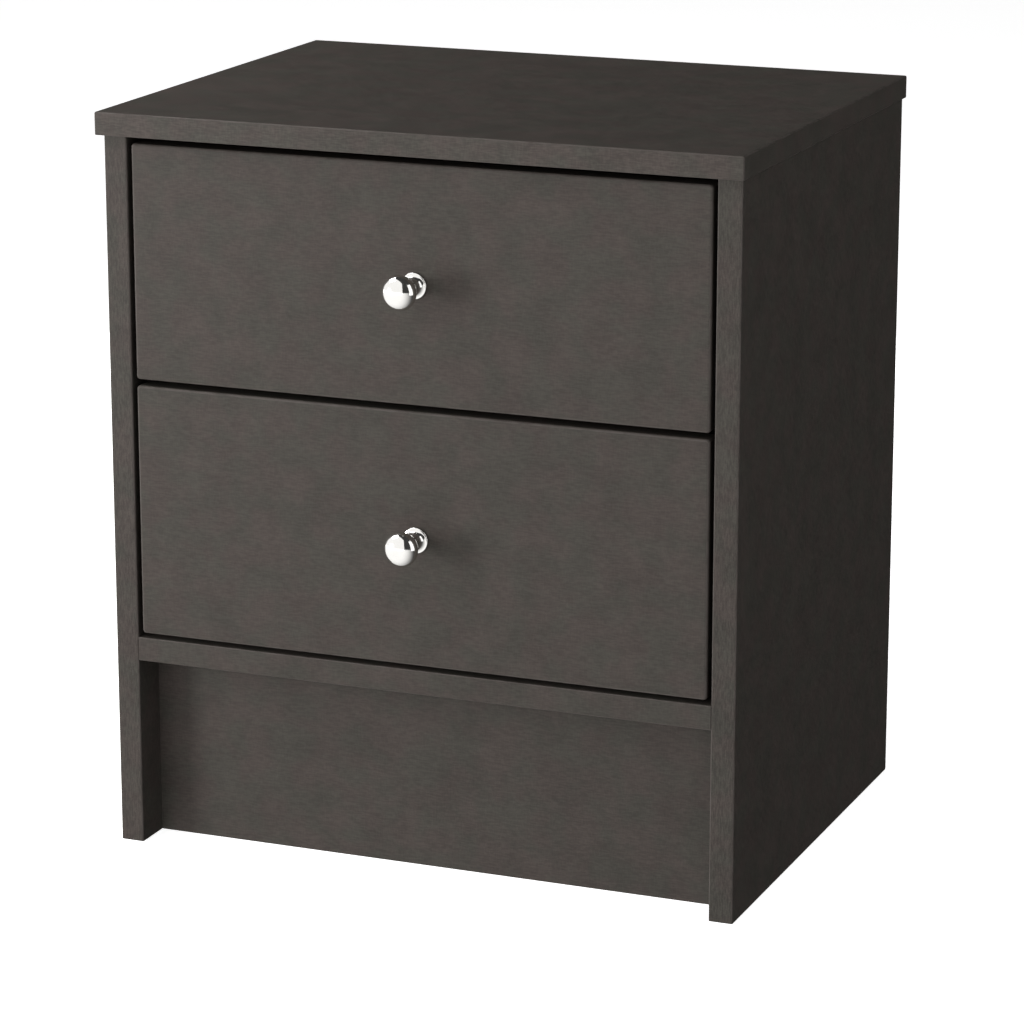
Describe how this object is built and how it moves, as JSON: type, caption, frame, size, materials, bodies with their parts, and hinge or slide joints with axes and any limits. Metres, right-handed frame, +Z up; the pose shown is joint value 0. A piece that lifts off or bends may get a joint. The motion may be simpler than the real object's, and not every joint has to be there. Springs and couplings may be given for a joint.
{
  "type": "two-drawer nightstand",
  "caption": "Bedside cabinet of dark foil-covered board with inset drawers on roller runners, ball knobs, an oversailing top and a recessed plinth.",
  "frame": {"origin": "on the floor, under the middle of the object's box, the knobs included", "axes": "+X to the right of someone facing the drawers, +Y to the back, +Z up"},
  "size_m": [0.436, 0.3614, 0.49],
  "materials": {
    "dark_foil": "dark grey-brown printed foil on particleboard, satin",
    "drawer_foil": "dark grey-brown foil on 12 mm board, matt",
    "hardboard": "3 mm hardboard with a dark printed face",
    "beech": "plain fluted beech",
    "polished_chrome": "polished chrome plate",
    "zinc_plated_steel": "bright zinc plate",
    "die_cast_zinc": "raw die-cast zinc alloy",
    "rail_enamel": "light grey powder coat on 1.2 mm steel",
    "nylon": "off-white nylon"
  },
  "bodies": {
    "cabinet": {"top_panel": "dark_foil", "left_side_panel": "dark_foil", "right_side_panel": "dark_foil", "bottom_shelf": "dark_foil", "plinth_board": "dark_foil", "back_panel": "hardboard", "back_panel_nails": "zinc_plated_steel", "cam_locks": "die_cast_zinc", "cam_bolts": "zinc_plated_steel", "dowels": "beech", "cabinet_rail_screws": "zinc_plated_steel", "cabinet_roller_axles": "zinc_plated_steel", "upper_left_cabinet_rail": "rail_enamel", "upper_right_cabinet_rail": "rail_enamel", "lower_left_cabinet_rail": "rail_enamel", "lower_right_cabinet_rail": "rail_enamel"},
    "upper_drawer": {"upper_drawer_front": "dark_foil", "upper_drawer_left_side": "drawer_foil", "upper_drawer_right_side": "drawer_foil", "upper_drawer_back": "drawer_foil", "upper_drawer_bottom": "hardboard", "upper_drawer_bottom_nails": "zinc_plated_steel", "upper_drawer_cam_locks": "die_cast_zinc", "upper_drawer_cam_bolts": "zinc_plated_steel", "upper_drawer_dowels": "beech", "upper_drawer_back_screws": "zinc_plated_steel", "upper_drawer_rail_screws": "zinc_plated_steel", "upper_drawer_roller_axles": "zinc_plated_steel", "upper_left_drawer_rail": "rail_enamel", "upper_right_drawer_rail": "rail_enamel", "upper_knob": "polished_chrome", "upper_knob_screw": "zinc_plated_steel"},
    "upper_left_cabinet_roller": {"upper_left_cabinet_roller": "nylon"},
    "upper_left_drawer_roller": {"upper_left_drawer_roller": "nylon"},
    "upper_right_cabinet_roller": {"upper_right_cabinet_roller": "nylon"},
    "upper_right_drawer_roller": {"upper_right_drawer_roller": "nylon"},
    "lower_drawer": {"lower_drawer_front": "dark_foil", "lower_drawer_left_side": "drawer_foil", "lower_drawer_right_side": "drawer_foil", "lower_drawer_back": "drawer_foil", "lower_drawer_bottom": "hardboard", "lower_drawer_bottom_nails": "zinc_plated_steel", "lower_drawer_cam_locks": "die_cast_zinc", "lower_drawer_cam_bolts": "zinc_plated_steel", "lower_drawer_dowels": "beech", "lower_drawer_back_screws": "zinc_plated_steel", "lower_drawer_rail_screws": "zinc_plated_steel", "lower_drawer_roller_axles": "zinc_plated_steel", "lower_left_drawer_rail": "rail_enamel", "lower_right_drawer_rail": "rail_enamel", "lower_knob": "polished_chrome", "lower_knob_screw": "zinc_plated_steel"},
    "lower_left_cabinet_roller": {"lower_left_cabinet_roller": "nylon"},
    "lower_left_drawer_roller": {"lower_left_drawer_roller": "nylon"},
    "lower_right_cabinet_roller": {"lower_right_cabinet_roller": "nylon"},
    "lower_right_drawer_roller": {"lower_right_drawer_roller": "nylon"}
  },
  "joints": [
    {"name": "upper_drawer_slide", "type": "slide", "parent": "cabinet", "child": "upper_drawer", "axis": [0, -1, 0], "range_m": [0, 0.2197]},
    {"name": "upper_left_cabinet_roller_spin", "type": "hinge", "parent": "cabinet", "child": "upper_left_cabinet_roller", "pos_m": [-0.1935, -0.12025, 0.341], "axis": [1, 0, 0], "continuous": true},
    {"name": "upper_left_drawer_roller_spin", "type": "hinge", "parent": "upper_drawer", "child": "upper_left_drawer_roller", "pos_m": [-0.192, 0.15275, 0.3393], "axis": [1, 0, 0], "continuous": true},
    {"name": "upper_right_cabinet_roller_spin", "type": "hinge", "parent": "cabinet", "child": "upper_right_cabinet_roller", "pos_m": [0.1935, -0.12025, 0.341], "axis": [1, 0, 0], "continuous": true},
    {"name": "upper_right_drawer_roller_spin", "type": "hinge", "parent": "upper_drawer", "child": "upper_right_drawer_roller", "pos_m": [0.192, 0.15275, 0.3393], "axis": [1, 0, 0], "continuous": true},
    {"name": "lower_drawer_slide", "type": "slide", "parent": "cabinet", "child": "lower_drawer", "axis": [0, -1, 0], "range_m": [0, 0.2197]},
    {"name": "lower_left_cabinet_roller_spin", "type": "hinge", "parent": "cabinet", "child": "lower_left_cabinet_roller", "pos_m": [-0.1935, -0.12025, 0.17], "axis": [1, 0, 0], "continuous": true},
    {"name": "lower_left_drawer_roller_spin", "type": "hinge", "parent": "lower_drawer", "child": "lower_left_drawer_roller", "pos_m": [-0.192, 0.15275, 0.1683], "axis": [1, 0, 0], "continuous": true},
    {"name": "lower_right_cabinet_roller_spin", "type": "hinge", "parent": "cabinet", "child": "lower_right_cabinet_roller", "pos_m": [0.1935, -0.12025, 0.17], "axis": [1, 0, 0], "continuous": true},
    {"name": "lower_right_drawer_roller_spin", "type": "hinge", "parent": "lower_drawer", "child": "lower_right_drawer_roller", "pos_m": [0.192, 0.15275, 0.1683], "axis": [1, 0, 0], "continuous": true}
  ],
  "couplings": [
    {"joint": "upper_left_cabinet_roller_spin", "follows": "upper_drawer_slide", "rad_per_m": 105.26},
    {"joint": "upper_left_drawer_roller_spin", "follows": "upper_drawer_slide", "rad_per_m": 105.26},
    {"joint": "upper_right_cabinet_roller_spin", "follows": "upper_drawer_slide", "rad_per_m": 105.26},
    {"joint": "upper_right_drawer_roller_spin", "follows": "upper_drawer_slide", "rad_per_m": 105.26},
    {"joint": "lower_left_cabinet_roller_spin", "follows": "lower_drawer_slide", "rad_per_m": 105.26},
    {"joint": "lower_left_drawer_roller_spin", "follows": "lower_drawer_slide", "rad_per_m": 105.26},
    {"joint": "lower_right_cabinet_roller_spin", "follows": "lower_drawer_slide", "rad_per_m": 105.26},
    {"joint": "lower_right_drawer_roller_spin", "follows": "lower_drawer_slide", "rad_per_m": 105.26}
  ]
}
